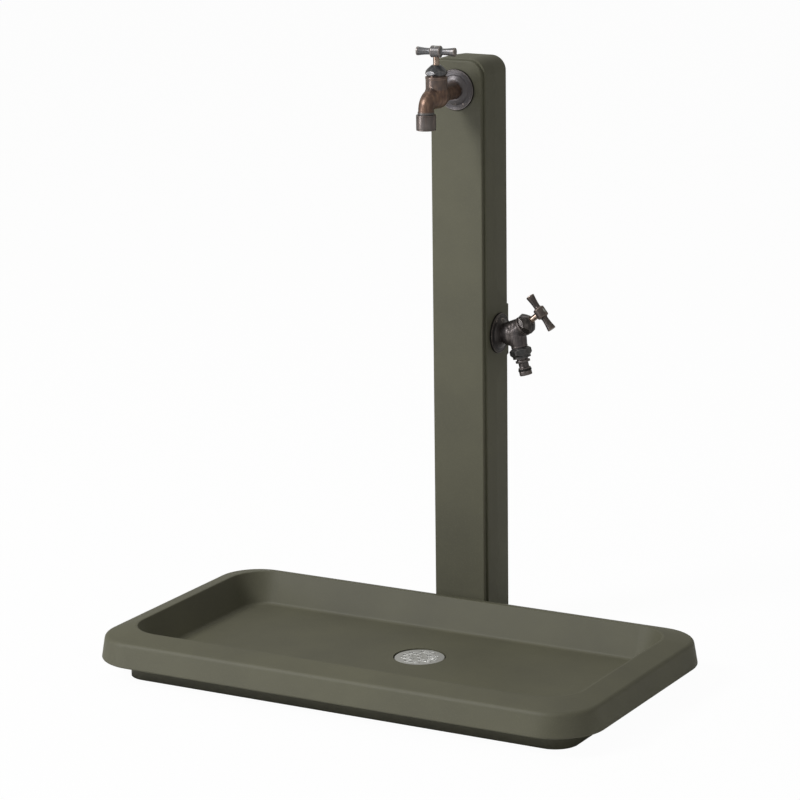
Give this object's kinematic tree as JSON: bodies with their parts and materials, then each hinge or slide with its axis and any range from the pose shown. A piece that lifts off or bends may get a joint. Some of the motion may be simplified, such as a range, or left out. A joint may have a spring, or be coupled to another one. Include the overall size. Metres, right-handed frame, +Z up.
{
  "type": "garden standpipe",
  "caption": "Outdoor water post with a rounded square column, a bib tap on its front, a hose tap with a nipple on its side and a shallow rectangular drain pan.",
  "frame": {"origin": "on the ground at the post's centre line, which is the middle of the foot plate's bolt holes", "axes": "+Z up, +X along the pan towards the side tap, -Y from the post over the pan towards the user"},
  "size_m": [0.749, 0.5209, 0.8387],
  "materials": {
    "pan_resin": "fine matt moulded resin",
    "casing_resin": "fine matt moulded resin",
    "panel_resin": "fine matt moulded resin",
    "drain_plastic": "moulded, satin",
    "seal_rubber": "matt",
    "grate_steel": "brushed and pressed",
    "foot_paint": "satin paint",
    "screw_steel": "zinc plated",
    "fitting_brass": "cast and turned",
    "pipe_plastic": "extruded",
    "clip_plastic": "moulded",
    "upper_plate_metal": "antique gunmetal wash",
    "upper_bonnet_metal": "antique gunmetal wash",
    "upper_handle_metal": "antique gunmetal wash with copper edges",
    "lower_plate_metal": "antique gunmetal wash, darkened",
    "lower_bonnet_metal": "antique gunmetal wash, darkened",
    "lower_handle_metal": "antique gunmetal wash, darkened, with copper edges",
    "cap_metal": "antique gunmetal wash with copper edges",
    "upper_copper": "antique copper, rubbed",
    "lower_gunmetal": "antique gunmetal, rubbed",
    "nut_metal": "antique gunmetal, rubbed",
    "nipple_metal": "antique gunmetal, rubbed",
    "valve_brass": "turned",
    "spindle_brass": "turned, rubbed copper wash",
    "packing_fibre": "pressed fibre"
  },
  "bodies": {
    "standpipe": {"pan": "pan_resin", "drain_gasket": "seal_rubber", "drain_flange": "drain_plastic", "drain_locknut": "drain_plastic", "post_casing": "casing_resin", "front_panel": "panel_resin", "foot_plate": "foot_paint", "foot_screws": "screw_steel", "inlet_adapter": "fitting_brass", "riser_lower": "pipe_plastic", "riser_upper": "pipe_plastic", "riser_tee": "fitting_brass", "top_elbow": "fitting_brass", "pipe_clips": "clip_plastic", "clip_screws": "screw_steel", "upper_flange_seal": "seal_rubber", "upper_flange": "upper_plate_metal", "upper_bonnet": "upper_bonnet_metal", "upper_packing_washer": "valve_brass", "upper_packing": "packing_fibre", "lower_flange_seal": "seal_rubber", "lower_flange": "lower_plate_metal", "lower_bonnet": "lower_bonnet_metal", "lower_packing_washer": "valve_brass", "lower_packing": "packing_fibre", "upper_body": "upper_copper", "lower_body": "lower_gunmetal", "upper_outlet_gasket": "seal_rubber", "upper_strainer": "grate_steel", "upper_outlet_cap": "cap_metal", "lower_nipple_gasket": "seal_rubber", "lower_nipple_nut": "nut_metal", "lower_nipple": "nipple_metal", "lower_nipple_ring": "seal_rubber"},
    "grate": {"drain_grate": "grate_steel"},
    "upper_valve": {"upper_jumper": "valve_brass", "upper_jumper_rubber": "seal_rubber"},
    "upper_stem": {"upper_spindle": "spindle_brass", "upper_handle": "upper_handle_metal", "upper_handle_screw": "screw_steel"},
    "lower_valve": {"lower_jumper": "valve_brass", "lower_jumper_rubber": "seal_rubber"},
    "lower_stem": {"lower_spindle": "spindle_brass", "lower_handle": "lower_handle_metal", "lower_handle_screw": "screw_steel"}
  },
  "joints": [
    {"name": "grate_lift", "type": "slide", "parent": "standpipe", "child": "grate", "axis": [0, 0, 1], "range_m": [0, 0.04]},
    {"name": "upper_lift", "type": "slide", "parent": "standpipe", "child": "upper_valve", "axis": [0, 0, 1], "range_m": [0, 0.00375]},
    {"name": "upper_turn", "type": "hinge", "parent": "upper_valve", "child": "upper_stem", "pos_m": [0, -0.0965, 0.8307], "axis": [0, 0, 1], "range_deg": [0, 540]},
    {"name": "lower_lift", "type": "slide", "parent": "standpipe", "child": "lower_valve", "axis": [0.788, 0, 0.6157], "range_m": [0, 0.00375]},
    {"name": "lower_turn", "type": "hinge", "parent": "lower_valve", "child": "lower_stem", "pos_m": [0.10686, 0, 0.46583], "axis": [0.788, 0, 0.6157], "range_deg": [0, 540]}
  ],
  "couplings": [
    {"joint": "upper_turn", "follows": "upper_lift", "rad_per_m": 2513.3},
    {"joint": "lower_turn", "follows": "lower_lift", "rad_per_m": 2513.3}
  ]
}
